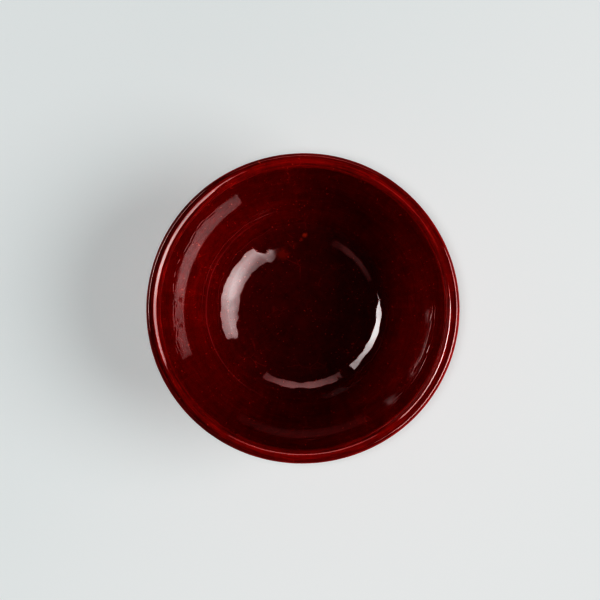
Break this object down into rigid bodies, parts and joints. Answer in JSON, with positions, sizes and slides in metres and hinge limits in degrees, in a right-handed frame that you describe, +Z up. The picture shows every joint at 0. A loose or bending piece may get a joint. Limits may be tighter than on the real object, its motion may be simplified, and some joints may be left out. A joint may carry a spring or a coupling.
{
  "type": "rice bowl",
  "caption": "Round hand-thrown rice bowl with a rolled lip, gently dished well and plain foot ring, glazed inside and out over bare clay at the foot.",
  "frame": {"origin": "centre of the circle that the foot ring stands on, at table height", "axes": "+Z up along the bowl's axis of turning, mouth opening towards +Z"},
  "size_m": [0.12, 0.12, 0.055],
  "materials": {
    "fired_clay": "matte, bare fired stoneware",
    "red_glaze": "glossy, deep translucent oxblood red"
  },
  "bodies": {
    "root": {"bowl_body": "fired_clay", "foot_ring": "fired_clay", "inner_glaze": "red_glaze", "outer_glaze": "red_glaze", "rim_glaze": "red_glaze", "foot_well_glaze": "red_glaze"}
  },
  "joints": []
}
